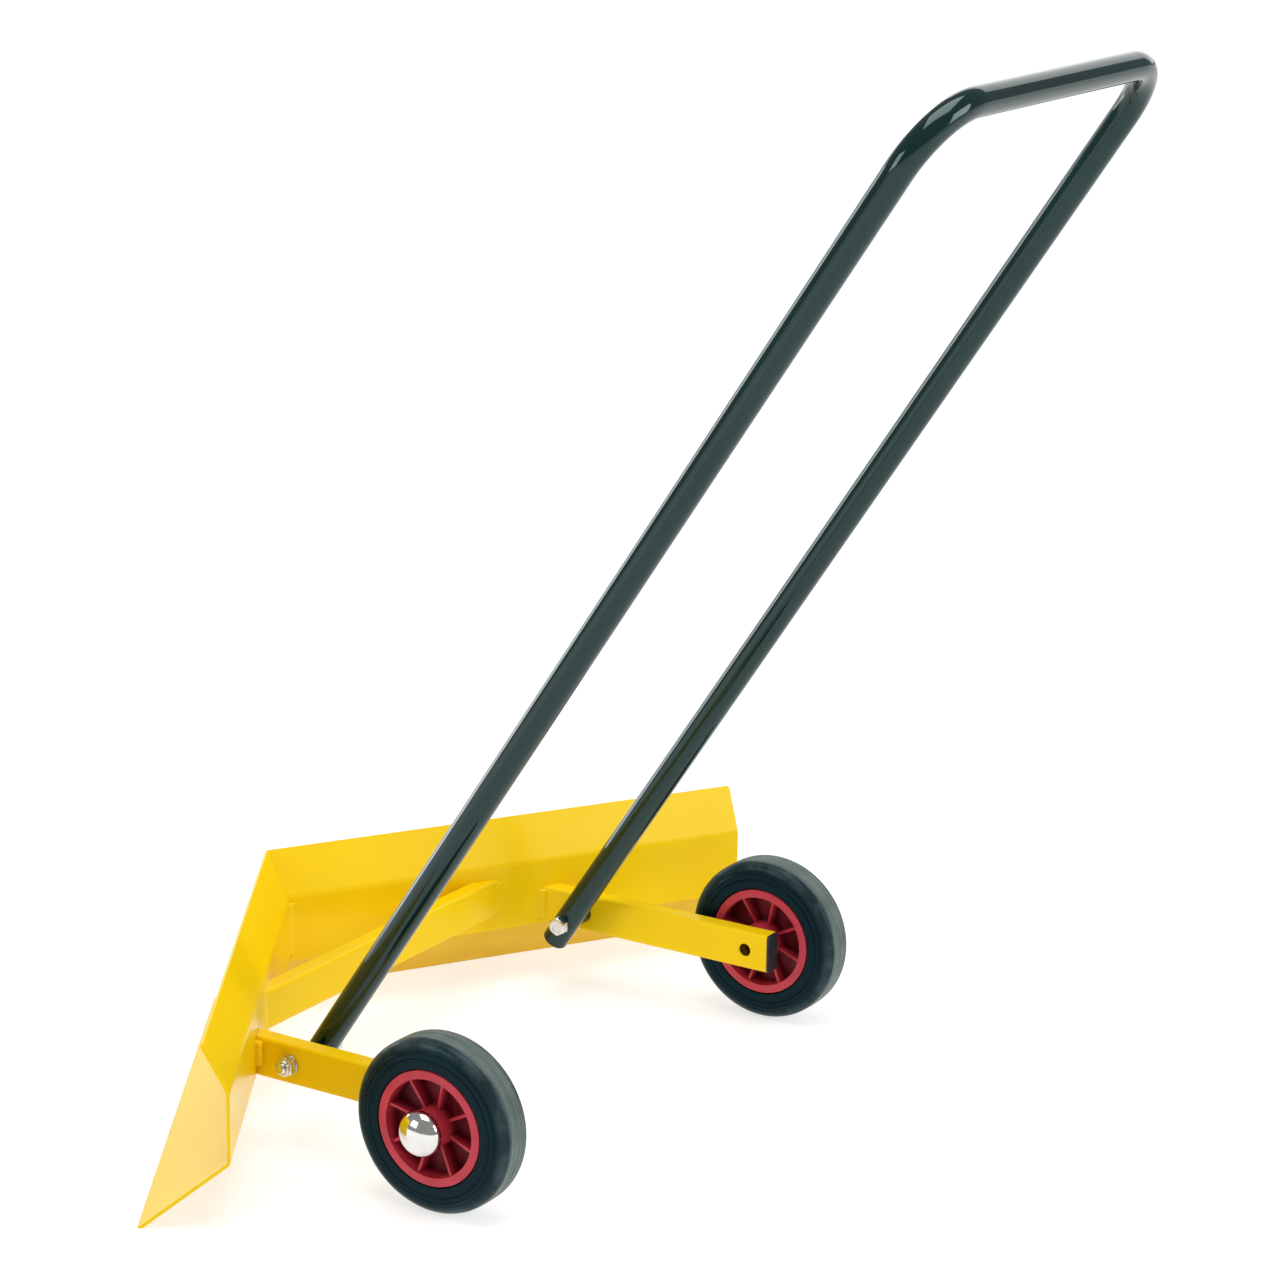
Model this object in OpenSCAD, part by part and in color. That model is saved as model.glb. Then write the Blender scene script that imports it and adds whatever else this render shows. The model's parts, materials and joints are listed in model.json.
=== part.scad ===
// Push-along V-blade sweeper on two wheels, with a folding U-shaped handle.
// Two folded steel wings meet at a nose and stand on the floor; a brace ties them together,
// two arms carry the wheels, and the handle is bolted to the arms.
// Frame: millimetres, +Z up, the nose points to -Y, the user walks behind at +Y, +X is the user's left.
// Origin: centre of the object's footprint, on the floor.

/* [Blade] */
// Angle of each wing behind the square-across direction, in degrees
wing_sweep = 31.5; // [25:0.5:40]
// Length of each wing along its fold line
wing_length = 495; // [480:1:560]
// Thickness of the folded sheet
sheet_t = 3; // [2:0.5:4]
// Angle of the lower panel above the floor, in degrees
lower_angle = 38; // [30:1:55]
// Width of the lower panel, from the floor to the lower fold
lower_width = 100; // [90:1:120]
// Width of the upright middle panel
middle_width = 64; // [50:1:80]
// Width of the upper panel
upper_width = 48; // [30:1:60]
// Forward tilt of the upper panel from upright, in degrees
upper_tilt = 27; // [15:1:40]
// Inside radius of the folds
fold_r = 4; // [2:0.5:6]
// Distance from the axle forward to the nose, on the front of the middle panel
nose_reach = 382; // [370:1:420]

/* [Frame tubes] */
// Height of the flat-sided tube used for the arms and the brace
tube_h = 38; // [35:1:40]
// Width of the same tube
tube_w = 19; // [18:1:20]
// Wall of the same tube
tube_wall = 2; // [1.5:0.5:2.5]
// Outside corner radius of the same tube
tube_corner = 3; // [2.5:0.5:4]
// Sideways distance from the middle of the object to the middle of an arm
arm_x = 241.5; // [236:0.5:246]
// Distance that an arm reaches behind the axle
arm_tail = 24.5; // [22:0.5:35]
// Height of the middle of the brace
brace_z = 94; // [90:1:104]
// Distance from the axle forward to the back face of the brace
brace_reach = 261.5; // [258:0.5:266]

/* [Wheels] */
// Outside diameter of the tyre
wheel_d = 160; // [150:2:164]
// Width of the tyre across its side walls
tyre_w = 40; // [36:1:44]
// Diameter of the rim where it shows beside the tyre
rim_d = 105.5; // [100:0.5:112]
// Length of the hub, with the flanges of both bushes
hub_length = 54; // [50:1:58]
// Outside diameter of the hub
hub_d = 36; // [34:1:40]
// Number of ribs on each side of the rim
ribs = 8; // [6:1:10]
// Angle of the first rib above straight back, as the wheels stand
rib_phase = 28.5; // [0:0.5:45]
// Diameter of the stub axle
axle_d = 20; // [18:1:22]
// Diameter of the domed axle cap
cap_d = 42; // [36:1:42]
// Height of the dome of the axle cap
cap_dome = 14; // [8:1:14]

/* [Handle] */
// Outside diameter of the handle tube
grip_d = 25.4; // [22:0.1:28]
// Wall of the handle tube
grip_wall = 1.5; // [1.2:0.1:2.5]
// Sideways distance from the middle of the object to the middle of a handle leg
leg_x = 202.5; // [198:0.5:204]
// Distance from the pivot to the middle of the grip bar, along the legs
handle_length = 1078; // [900:1:1200]
// Bend radius at the middle of the tube
bend_r = 60; // [45:1:90]
// Backward lean of the handle from upright, in degrees
handle_lean = 33.5; // [20:0.5:45]
// Distance from the axle forward to the handle pivot
pivot_reach = 187.5; // [170:0.5:195]
// Length of leg left below the pivot, without its plug
leg_tail = 24; // [20:1:30]

/* [Fasteners] */
// Thread diameter of the pivot bolts
bolt_d = 10; // [8:1:12]
// Width across the flats of the bolt heads and nuts
bolt_af = 17; // [13:1:19]
// Outside diameter of the pivot spacers
spacer_d = 18; // [16:1:22]
// Outside diameter of the washers under the pivot nuts
pivot_washer_d = 20; // [18:1:21]

/* [Hidden] */

$fn = 72;
bore_fn = 64;        // smoothness of holes, pins and shafts
eps = 0.01;          // overlap that keeps a cut clean
big = 2000;          // larger than the object, for half-spaces
fold_steps = 6;      // flats that stand for one fold
arc_steps = 8;       // flats that stand for one quarter round

running_gap = 0.05;  // radial clearance of a shaft or bolt that turns
slack = 0.2;         // radial clearance of a hole that only lets a bolt through
body_gap = 0.3;      // distance kept between faces of bodies that move past each other
end_float = 0.5;     // side play of a wheel between its washers

yellow = "#f2c20f";
red = "#a8323f";
black = "#1b1d1f";
rubber = "#23292c";
zinc = "#c9c9c4";
chrome = "#d8d8d8";
nylon = "#d9d6c8";

axle_z = wheel_d / 2;
axle_r = axle_d / 2;
grip_r = grip_d / 2;
bolt_r = bolt_d / 2;

// Heights and forward offsets of the blade's front face
fold2_z = lower_width * sin(lower_angle);
fold1_z = fold2_z + middle_width;
toe_m = lower_width * cos(lower_angle);

// Where the back faces of the middle panels meet, and the direction of the left one
back_y = -nose_reach + sheet_t / cos(wing_sweep);
wing_dir = [cos(wing_sweep), sin(wing_sweep)];

// Footprint: toe of the nose in front, grip bar at the back
toe_y = -nose_reach - toe_m / cos(wing_sweep);
grip_y = -pivot_reach + handle_length * sin(handle_lean);
grip_z = axle_z + handle_length * cos(handle_lean);
axle_y = -(toe_y + grip_y + grip_r) / 2;

// Stack on the axle, outwards from the arm
arm_out = arm_x + tube_w / 2;
arm_in = arm_x - tube_w / 2;
axle_washer_t = 2;
hub_in = arm_out + axle_washer_t + end_float;
hub_out = hub_in + hub_length;
wheel_x = hub_in + hub_length / 2;
outer_washer_x = hub_out + end_float;
cap_x = outer_washer_x + axle_washer_t;
inner_washer_r = 17;
outer_washer_r = 16;
axle_tail = 5;       // part of the axle inside the arm's tube
axle_nose = 8;       // part of the axle inside its cap
bush_flange_t = 1.5;
bush_flange_r = 16;
bush_r = 13;         // shank of a bush, and the hub's bore
bush_depth = 16;     // length of a bush inside the hub
flange_t = 4;        // thickness of the rim's flanges that hold the tyre
seat_r = rim_d / 2 - 4;
pilot_d = 13;        // open hole in the arm's inner wall, in line with the axle

// Stack on the pivot bolt, outwards from the leg
head_x = leg_x - grip_r - body_gap;
head_t = 7;
spacer_in = leg_x + grip_r + body_gap;
pivot_washer_t = 2;
nut_t = 10;
nut_x = arm_out + pivot_washer_t;
bolt_end = nut_x + nut_t + 3;

// ---------------------------------------------------------------- helpers

// Moves a child from the axle's frame to the footprint's frame
module place() {
    translate([0, axle_y, 0]) children();
}

// Puts a left-hand child on the left side, or its mirror image on the right side
module side(s) {
    if (s > 0) children();
    else mirror([1, 0, 0]) children();
}

// Disc or rod along X, from x0 to x1
module rod_x(x0, x1, r) {
    translate([x0, 0, 0]) rotate([0, 90, 0]) cylinder(h = x1 - x0, r = r, $fn = bore_fn);
}

// Ring along X, from x0 to x1
module ring_x(x0, x1, r_out, r_in) {
    difference() {
        rod_x(x0, x1, r_out);
        rod_x(x0 - 1, x1 + 1, r_in);
    }
}

// Turns a profile, drawn as [radius, distance along X], round the X axis
module turn_x() {
    rotate([0, 90, 0]) rotate_extrude($fn = 96) children();
}

// Hexagonal prism along X, with its far corners turned down on the outer face
module hex_x(x0, x1, af, chamfer_out = true) {
    corner_r = af / sqrt(3);
    clear_r = corner_r + 1;
    face_r = af / 2 - 0.4;
    cut = 2.4;           // drop of the chamfer cone from face_r out to clear_r
    intersection() {
        translate([x0, 0, 0]) rotate([0, 90, 0]) cylinder(h = x1 - x0, r = corner_r, $fn = 6);
        turn_x() {
            if (chamfer_out)
                polygon([[0, x0], [clear_r, x0], [clear_r, x1 - cut], [face_r, x1], [0, x1]]);
            else
                polygon([[0, x0], [face_r, x0], [clear_r, x0 + cut], [clear_r, x1], [0, x1]]);
        }
    }
}

// Rectangle with round corners, centred
module round_rect(w, h, r) {
    square([w - 2 * r, h], center = true);
    square([w, h - 2 * r], center = true);
    for (i = [-1, 1], j = [-1, 1])
        translate([i * (w / 2 - r), j * (h / 2 - r)]) circle(r = r, $fn = 32);
}

// Wall section of the frame tube
module tube_section() {
    inner_corner = tube_corner - tube_wall + 0.5;
    difference() {
        round_rect(tube_w, tube_h, tube_corner);
        round_rect(tube_w - 2 * tube_wall, tube_h - 2 * tube_wall, inner_corner);
    }
}

// Space behind the back face of the left wing's middle panel
module behind_left_wing() {
    translate([0, back_y, -big / 2])
        rotate([0, 0, wing_sweep]) translate([-big / 2, 0, 0]) cube([big, big, big]);
}

// ---------------------------------------------------------------- blade

function along(a) = [cos(a), sin(a)];
function across(a) = [-sin(a), cos(a)];

// Stations of a fold: centre, radius at the middle of the sheet, heading before and after (turning right)
function fold_stations(c, r, a0, a1) =
    [for (i = [0:fold_steps]) let (a = a0 + (a1 - a0) * i / fold_steps) [c + r * across(a), a]];

// Middle line of the folded sheet as [forward, up]; the middle panel's front face is at forward = 0
lower_head = 180 - lower_angle;
upper_head = 90 - upper_tilt;
fold_mid_r = fold_r + sheet_t / 2;
fold2_turn = tan((lower_head - 90) / 2);
fold1_turn = tan((90 - upper_head) / 2);
mid_m = -sheet_t / 2;
fold2_pt = [mid_m, fold2_z - sheet_t / 2 * fold2_turn];
fold1_pt = [mid_m, fold1_z + sheet_t / 2 * fold1_turn];
fold2_c = [mid_m + fold_mid_r, fold2_pt[1] + fold_mid_r * fold2_turn];
fold1_c = [mid_m + fold_mid_r, fold1_pt[1] - fold_mid_r * fold1_turn];
below_floor = 20;    // length of the lower panel that the floor plane cuts off
toe_pt = fold2_pt - (lower_width + below_floor) * along(lower_head);
top_pt = fold1_pt + (upper_width + sheet_t / 2 * fold1_turn) * along(upper_head);
stations = concat([[toe_pt, lower_head]], fold_stations(fold2_c, fold_mid_r, lower_head, 90),
    fold_stations(fold1_c, fold_mid_r, 90, upper_head), [[top_pt, upper_head]]);

module folded_sheet() {
    last = len(stations) - 1;
    front = [for (s = stations) s[0] - sheet_t / 2 * across(s[1])];
    back = [for (i = [last:-1:0]) stations[i][0] + sheet_t / 2 * across(stations[i][1])];
    intersection() {
        polygon(concat(front, back));
        translate([-big / 2, 0]) square([big, big]);
    }
}

// Left wing: square outer end, mitred on the middle plane at the nose
module wing() {
    end = wing_length * wing_dir - [0, nose_reach];
    past_nose = toe_m * tan(wing_sweep) + 60;
    intersection() {
        translate([end[0], end[1], 0])
            rotate([90, 0, wing_sweep - 90]) linear_extrude(height = wing_length + past_nose) folded_sheet();
        translate([0, -big / 2, -1]) cube([big, big, big]);
    }
}

module blade(s) {
    color(yellow) place() side(s) wing();
}

// Bead in the inner corner of the nose, along the middle panels
module nose_weld() {
    bead = 6;
    clear_of_folds = 5;
    color(yellow) place()
        translate([0, back_y, fold2_z + clear_of_folds])
            linear_extrude(height = middle_width - 2 * clear_of_folds)
                polygon([[0, 0], bead * wing_dir, [0, 0.75 * bead], bead * [-wing_dir[0], wing_dir[1]]]);
}

// ---------------------------------------------------------------- brace and arms

module cross_brace() {
    half = (nose_reach - brace_reach) / tan(wing_sweep) + tube_h;
    color(yellow) place() intersection() {
        translate([-half, -brace_reach - tube_w / 2, brace_z])
            rotate([90, 0, 90]) linear_extrude(height = 2 * half) tube_section();
        behind_left_wing();
        mirror([1, 0, 0]) behind_left_wing();
    }
}

// Fillets along the brace's back edge at both wings, where the corner is open
module brace_welds() {
    bead = 5;
    corner_x = (-brace_reach - back_y) / tan(wing_sweep);
    color(yellow) place() for (s = [1, -1]) side(s)
        translate([corner_x, -brace_reach, brace_z - tube_h / 2 + tube_corner])
            linear_extrude(height = tube_h - 2 * tube_corner)
                polygon([[0, 0], bead * wing_dir, bead * [-0.12, 0.45], [-bead, 0]]);
}

// Left arm, with holes for the axle, the pivot bolt and the pilot
module arm_tube() {
    difference() {
        intersection() {
            translate([arm_x, arm_tail, axle_z]) rotate([90, 0, 0])
                linear_extrude(height = nose_reach) tube_section();
            behind_left_wing();
        }
        translate([0, 0, axle_z]) {
            rod_x(arm_x, arm_out + 1, axle_r);
            rod_x(arm_in - 1, arm_x, pilot_d / 2);
        }
        translate([0, -pivot_reach, axle_z]) rod_x(arm_in - 1, arm_out + 1, bolt_r + slack);
    }
}

module arm(s) {
    color(yellow) place() side(s) arm_tube();
}

// Fillets at the root of an arm: a fat one in the sharp outer corner, which stops short of the
// bottom, and a thin one in the open inner corner
module arm_weld(s) {
    outer_leg = 8;
    inner_leg = 5;
    outer_start = 11;
    base_z = axle_z - tube_h / 2;
    color(yellow) place() side(s) {
        translate([arm_out, back_y + arm_out * tan(wing_sweep), base_z + outer_start])
            linear_extrude(height = tube_h - outer_start - tube_corner)
                polygon([[0, 0], outer_leg * wing_dir, outer_leg * [0.42, 0.86], [0, outer_leg]]);
        translate([arm_in, back_y + arm_in * tan(wing_sweep), base_z + tube_corner])
            linear_extrude(height = tube_h - 2 * tube_corner)
                polygon([[0, 0], [0, inner_leg], inner_leg * [-0.65, 0.25], -inner_leg * wing_dir]);
    }
}

// Plastic end cap: a lip over the tube's end and a plug inside it
module arm_cap(s) {
    lip = 2;
    plug_depth = 11;
    inset = 2 * tube_wall + 2 * slack;
    color(black) place() side(s) translate([arm_x, arm_tail, axle_z]) rotate([-90, 0, 0]) {
        linear_extrude(height = lip) round_rect(tube_w, tube_h, tube_corner);
        translate([0, 0, -plug_depth]) linear_extrude(height = plug_depth)
            round_rect(tube_w - inset, tube_h - inset, 1);
    }
}

// ---------------------------------------------------------------- axles and wheels

module axle(s) {
    chamfer = 1.5;
    x0 = arm_out - axle_tail;
    x1 = cap_x + axle_nose;
    color(zinc) place() side(s) translate([0, 0, axle_z]) turn_x()
        polygon([[0, x0], [axle_r - chamfer, x0], [axle_r, x0 + chamfer], [axle_r, x1 - chamfer],
            [axle_r - chamfer, x1], [0, x1]]);
}

module inner_washer(s) {
    color(zinc) place() side(s) translate([0, 0, axle_z])
        ring_x(arm_out, arm_out + axle_washer_t, inner_washer_r, axle_r + slack);
}

module outer_washer(s) {
    color(zinc) place() side(s) translate([0, 0, axle_z])
        ring_x(outer_washer_x, cap_x, outer_washer_r, axle_r + slack);
}

// Pressed domed cap: a shell with an inturned base that grips the axle's end
module axle_cap(s) {
    cap_r = cap_d / 2;
    wall = 1;
    skirt = 2;
    steps = 2 * arc_steps;
    outside = [for (i = [0:steps]) let (a = 90 * i / steps)
        [cap_r * cos(a), skirt + cap_dome * sin(a)]];
    inside = [for (i = [steps:-1:0]) let (a = 90 * i / steps)
        [(cap_r - wall) * cos(a), skirt + (cap_dome - wall) * sin(a)]];
    color(chrome) place() side(s) translate([cap_x, 0, axle_z]) turn_x()
        polygon(concat([[axle_r, 0], [cap_r, 0]], outside, inside,
            [[cap_r - wall, wall], [axle_r, wall]]));
}

// Rim: hub, web and two flanges that hold the tyre, with ribs on both sides
module rim_body() {
    rim_r = rim_d / 2;
    bore_r = 45;
    half_w = tyre_w / 2;
    web_t = 5;
    hub_half = hub_length / 2 - bush_flange_t;
    hub_r = hub_d / 2;
    rib_t = 3;
    rib_at_hub = half_w - 7;
    rib_at_ring = half_w - 3;
    difference() {
        union() {
            turn_x() polygon([[hub_r, -web_t / 2], [bore_r, -web_t / 2], [bore_r, -half_w], [rim_r, -half_w],
                [rim_r, -half_w + flange_t], [seat_r, -half_w + flange_t], [seat_r, half_w - flange_t],
                [rim_r, half_w - flange_t], [rim_r, half_w], [bore_r, half_w], [bore_r, web_t / 2],
                [hub_r, web_t / 2]]);
            rod_x(-hub_half, hub_half, hub_r);
            for (i = [0:ribs - 1]) rotate([rib_phase + i * 360 / ribs, 0, 0])
                rotate([90, 0, 0]) translate([0, 0, -rib_t / 2]) linear_extrude(height = rib_t)
                    polygon([[-rib_at_hub, hub_r - 1], [rib_at_hub, hub_r - 1],
                        [rib_at_ring, bore_r + 1], [-rib_at_ring, bore_r + 1]]);
        }
        rod_x(-hub_half - 1, hub_half + 1, bush_r);
    }
}

module rim(s) {
    color(red) place() side(s) translate([wheel_x, 0, axle_z]) rim_body();
}

// Solid tyre: flat tread with a moulding line, round shoulders, stepped side walls
module tyre(s) {
    tyre_r = wheel_d / 2;
    half_w = tyre_w / 2;
    rim_r = rim_d / 2;
    fit = 0.1;
    shoulder_r = 8;
    step = 1;
    step_r = 70;
    line_h = 0.6;
    shoulder = [for (i = [0:arc_steps]) let (a = 90 * i / arc_steps)
        [tyre_r - shoulder_r + shoulder_r * sin(a), half_w - step - shoulder_r + shoulder_r * cos(a)]];
    half_outline = concat([[seat_r, 0], [seat_r, half_w - flange_t - fit],
        [rim_r + fit, half_w - flange_t - fit], [rim_r + fit, half_w], [step_r - step, half_w],
        [step_r, half_w - step]], shoulder, [[tyre_r, 2 * line_h], [tyre_r - line_h, line_h]]);
    other_half = [for (i = [len(half_outline) - 1:-1:1]) [half_outline[i][0], -half_outline[i][1]]];
    color(rubber) place() side(s) translate([wheel_x, 0, axle_z]) turn_x()
        polygon(concat(half_outline, other_half));
}

// Flanged bush pressed into one end of the hub; end = -1 on the arm's side, 1 on the outer side
module bush(s, end) {
    face = hub_length / 2;
    neck = face - bush_flange_t;
    color(nylon) place() side(s) translate([wheel_x, 0, axle_z]) side(end) difference() {
        union() {
            rod_x(neck, face, bush_flange_r);
            rod_x(neck - bush_depth, neck + eps, bush_r);
        }
        rod_x(neck - bush_depth - 1, face + 1, axle_r + running_gap);
    }
}

// ---------------------------------------------------------------- pivots

module pivot_bolt(s) {
    color(zinc) place() side(s) translate([0, -pivot_reach, axle_z]) {
        hex_x(head_x - head_t, head_x, bolt_af, false);
        rod_x(head_x - eps, bolt_end, bolt_r);
    }
}

module pivot_spacer(s) {
    color(black) place() side(s) translate([0, -pivot_reach, axle_z])
        ring_x(spacer_in, arm_in, spacer_d / 2, bolt_r + slack);
}

module pivot_washer(s) {
    color(zinc) place() side(s) translate([0, -pivot_reach, axle_z])
        ring_x(arm_out, nut_x, pivot_washer_d / 2, bolt_r + slack);
}

// Self-locking nut: hexagon with a round collar for its insert
module pivot_nut(s) {
    collar = 3;
    hex_end = nut_x + nut_t - collar;
    color(zinc) place() side(s) translate([0, -pivot_reach, axle_z]) difference() {
        union() {
            hex_x(nut_x, hex_end, bolt_af);
            rod_x(hex_end - eps, nut_x + nut_t, bolt_af / 2 - 1);
        }
        rod_x(nut_x - 1, nut_x + nut_t + 1, bolt_r);
    }
}

// ---------------------------------------------------------------- handle

// Moves a child drawn in the handle's own frame (pivot at the origin, legs along +Z) into place
module handle_frame() {
    place() translate([0, -pivot_reach, axle_z]) rotate([-handle_lean, 0, 0]) children();
}

// Solid U of radius r: two legs, two bends and the grip bar
module u_bend(r, tail) {
    straight = handle_length - bend_r;
    bar_half = leg_x - bend_r;
    for (s = [-1, 1]) side(s) {
        translate([leg_x, 0, -tail]) cylinder(h = straight + tail, r = r, $fn = bore_fn);
        translate([bar_half, 0, straight]) rotate([90, 0, 0])
            rotate_extrude(angle = 90, $fn = 96) translate([bend_r, 0]) circle(r = r, $fn = bore_fn);
    }
    translate([0, 0, handle_length]) rod_x(-bar_half, bar_half, r);
}

module handle_tube() {
    color(black) handle_frame() difference() {
        u_bend(grip_r, leg_tail);
        u_bend(grip_r - grip_wall, leg_tail + 1);
        for (i = [-1, 1]) rod_x(i * leg_x - grip_r - 1, i * leg_x + grip_r + 1, bolt_r + running_gap);
    }
}

// Plastic plug in the end of a leg: a rounded lip and a shank inside the tube
module handle_plug(s) {
    lip = 4;
    depth = 13;
    shank_r = grip_r - grip_wall - slack;
    edge = 3;
    rounding = [for (i = [0:arc_steps]) let (a = 90 * i / arc_steps)
        [grip_r - edge + edge * cos(a), -leg_tail - lip + edge - edge * sin(a)]];
    color(black) handle_frame() side(s) translate([leg_x, 0, 0]) rotate_extrude()
        polygon(concat([[0, depth - leg_tail], [shank_r, depth - leg_tail], [shank_r, -leg_tail],
            [grip_r, -leg_tail]], rounding, [[0, -leg_tail - lip]]));
}

// ---------------------------------------------------------------- nodes

blade(1);  // left_blade
blade(-1);  // right_blade
nose_weld();
cross_brace();
brace_welds();
arm(1);  // left_arm
arm(-1);  // right_arm
arm_weld(1);  // left_arm_weld
arm_weld(-1);  // right_arm_weld
arm_cap(1);  // left_arm_cap
arm_cap(-1);  // right_arm_cap
axle(1);  // left_axle
axle(-1);  // right_axle
inner_washer(1);  // left_inner_washer
inner_washer(-1);  // right_inner_washer
outer_washer(1);  // left_outer_washer
outer_washer(-1);  // right_outer_washer
axle_cap(1);  // left_axle_cap
axle_cap(-1);  // right_axle_cap
rim(1);  // left_rim
rim(-1);  // right_rim
tyre(1);  // left_tyre
tyre(-1);  // right_tyre
bush(1, -1);  // left_inner_bush
bush(-1, -1);  // right_inner_bush
bush(1, 1);  // left_outer_bush
bush(-1, 1);  // right_outer_bush
pivot_bolt(1);  // left_pivot_bolt
pivot_bolt(-1);  // right_pivot_bolt
pivot_spacer(1);  // left_pivot_spacer
pivot_spacer(-1);  // right_pivot_spacer
pivot_washer(1);  // left_pivot_washer
pivot_washer(-1);  // right_pivot_washer
pivot_nut(1);  // left_pivot_nut
pivot_nut(-1);  // right_pivot_nut
handle_tube();
handle_plug(1);  // left_handle_plug
handle_plug(-1);  // right_handle_plug
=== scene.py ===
"""Push-along V-blade sweeper: the looks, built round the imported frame. Metres, +Z up, nose to -Y."""

import json
import math

import bmesh
import bpy
from mathutils import Matrix, Vector


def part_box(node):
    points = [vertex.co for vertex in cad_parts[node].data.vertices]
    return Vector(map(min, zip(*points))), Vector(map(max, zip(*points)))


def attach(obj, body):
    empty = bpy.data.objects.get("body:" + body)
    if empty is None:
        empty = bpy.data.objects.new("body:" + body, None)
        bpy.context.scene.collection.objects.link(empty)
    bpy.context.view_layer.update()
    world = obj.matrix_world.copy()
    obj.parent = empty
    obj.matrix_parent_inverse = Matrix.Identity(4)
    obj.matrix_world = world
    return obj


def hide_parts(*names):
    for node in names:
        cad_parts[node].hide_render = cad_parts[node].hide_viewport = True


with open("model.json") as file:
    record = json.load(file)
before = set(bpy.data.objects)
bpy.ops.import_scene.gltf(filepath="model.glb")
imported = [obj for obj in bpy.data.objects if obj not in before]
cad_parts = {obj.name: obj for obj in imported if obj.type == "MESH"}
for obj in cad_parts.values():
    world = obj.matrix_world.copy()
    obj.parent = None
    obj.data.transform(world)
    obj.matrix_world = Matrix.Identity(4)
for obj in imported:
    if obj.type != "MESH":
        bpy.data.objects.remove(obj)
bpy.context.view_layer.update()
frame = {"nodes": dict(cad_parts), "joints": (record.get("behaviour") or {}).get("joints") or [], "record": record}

MM = 0.001
RECORD = frame["record"]
BODY_OF = {n: body for body, nodes in RECORD["behaviour"]["bodies"].items() for n in nodes}
SLOT_OF = {s["node"]: s["material_slot"] for s in RECORD["subparts"]}
JOINT = {j["name"]: j for j in frame["joints"]}
SIDES = {"left": 1, "right": -1}

# ------------------------------------------------------------------ sizes, in metres and radians

# Blade
SWEEP = math.radians(31.5)
WING = 495 * MM
SHEET = 3 * MM
LOWER_ANGLE = math.radians(38)
LOWER = 100 * MM
MIDDLE = 64 * MM
UPPER = 48 * MM
UPPER_TILT = math.radians(27)
FOLD_R = 4 * MM
UPPER_FOLD_R = 12 * MM
TOP_CORNER = 3.5 * MM
TOE_CORNER = 1 * MM
# Distances from the toe or the top at which the outline has points, so that the corners come out round
CORNER_STEPS = [0, 0.5 * MM, 1.1 * MM, 1.8 * MM, 2.6 * MM, 3.5 * MM]

# Handle
HANDLE_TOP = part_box("handle_tube")[1]
GRIP_R = 12.7 * MM
GRIP = Vector((0, HANDLE_TOP.y - GRIP_R, HANDLE_TOP.z - GRIP_R))
PIVOT = Vector(JOINT["handle_fold"]["pos_m"])
GRIP_WALL = 1.5 * MM
BEND_R = 60 * MM
LEG_TAIL = 24 * MM
LEG_X = HANDLE_TOP.x - GRIP_R
GRIP_HALF = LEG_X - BEND_R

# Wheels
HUB = Vector(JOINT["left_wheel_spin"]["pos_m"])
TYRE_R = HUB.z
TYRE_HALF = 20 * MM
RIM_R = 52.75 * MM
RING_R = 45 * MM
HUB_R = 18 * MM
HUB_HALF = 25.5 * MM
BORE_R = 13 * MM
FLANGE = 4 * MM
WEB_HALF = 2.5 * MM
RIBS = 8
RIB_PHASE = math.radians(28.5)
RIB_HALF = 1.5 * MM
RIB_AT_HUB = 13 * MM
RIB_AT_RING = 17 * MM
HUB_DRAFT = 0.9 * MM
RING_DRAFT = 1.2 * MM
RIB_DRAFT = 0.8 * MM
RIB_EDGE = 0.3 * MM
RIM_EDGE = 0.5 * MM

# Fasteners
BOLT_R = 5 * MM
BOLT_FLATS = 17 * MM
THREAD_PITCH = 1.5 * MM
THREAD_DEPTH = 0.45 * MM


# ------------------------------------------------------------------ mesh helpers

def turn(angle):
    """Unit vector at an angle in a plane."""
    return Vector((math.cos(angle), math.sin(angle)))


def rounded(corners, steps=4):
    """Closed outline from corners (x, y, radius): each corner with a radius becomes an arc."""
    outline = []
    for i, (x, y, radius) in enumerate(corners):
        here = Vector((x, y))
        before = (Vector(corners[i - 1][:2]) - here).normalized()
        after = (Vector(corners[(i + 1) % len(corners)][:2]) - here).normalized()
        if radius <= 0:
            outline.append(here)
            continue
        half = before.angle(after) / 2
        centre = here + (before + after).normalized() * (radius / math.sin(half))
        first = here + before * (radius / math.tan(half)) - centre
        last = here + after * (radius / math.tan(half)) - centre
        for k in range(steps + 1):
            t = k / steps
            spoke = (first * (1 - t) + last * t).normalized() * radius
            outline.append(centre + spoke)
    return outline


def skin(rings, closed=False, caps=True):
    """Vertices and faces of a surface through rings of points, all of one length."""
    count = len(rings[0])
    verts = [tuple(p) for ring in rings for p in ring]
    faces = []
    for i in range(len(rings) if closed else len(rings) - 1):
        a = i * count
        b = (i + 1) % len(rings) * count
        for j in range(count):
            k = (j + 1) % count
            faces.append((a + j, a + k, b + k, b + j))
    if caps and not closed:
        last = (len(rings) - 1) * count
        faces.append(tuple(range(count - 1, -1, -1)))
        faces.append(tuple(last + j for j in range(count)))
    return verts, faces


def circle(x, radius, count=96):
    """Ring of points about the X axis."""
    return [(x, radius * math.cos(a), radius * math.sin(a))
            for a in (2 * math.pi * j / count for j in range(count))]


def lathe(outline, count=96):
    """Solid of revolution about X; outline is a closed loop of (along, radius) off the axis."""
    return skin([circle(x, r, count) for x, r in outline], closed=True)


def capped_lathe(outline, count=96):
    """Solid of revolution about X, closed by a small disc at each end of the outline."""
    return skin([circle(x, r, count) for x, r in outline])


def placed(shape, offset, side=1):
    """A shape moved by an offset, and mirrored in X for the right side."""
    verts, faces = shape
    return [(side * (x + offset[0]), y + offset[1], z + offset[2]) for x, y, z in verts], faces


def joined(*shapes):
    """Several shapes as one."""
    verts, faces = [], []
    for v, f in shapes:
        faces += [tuple(i + len(verts) for i in face) for face in f]
        verts += v
    return verts, faces


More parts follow.
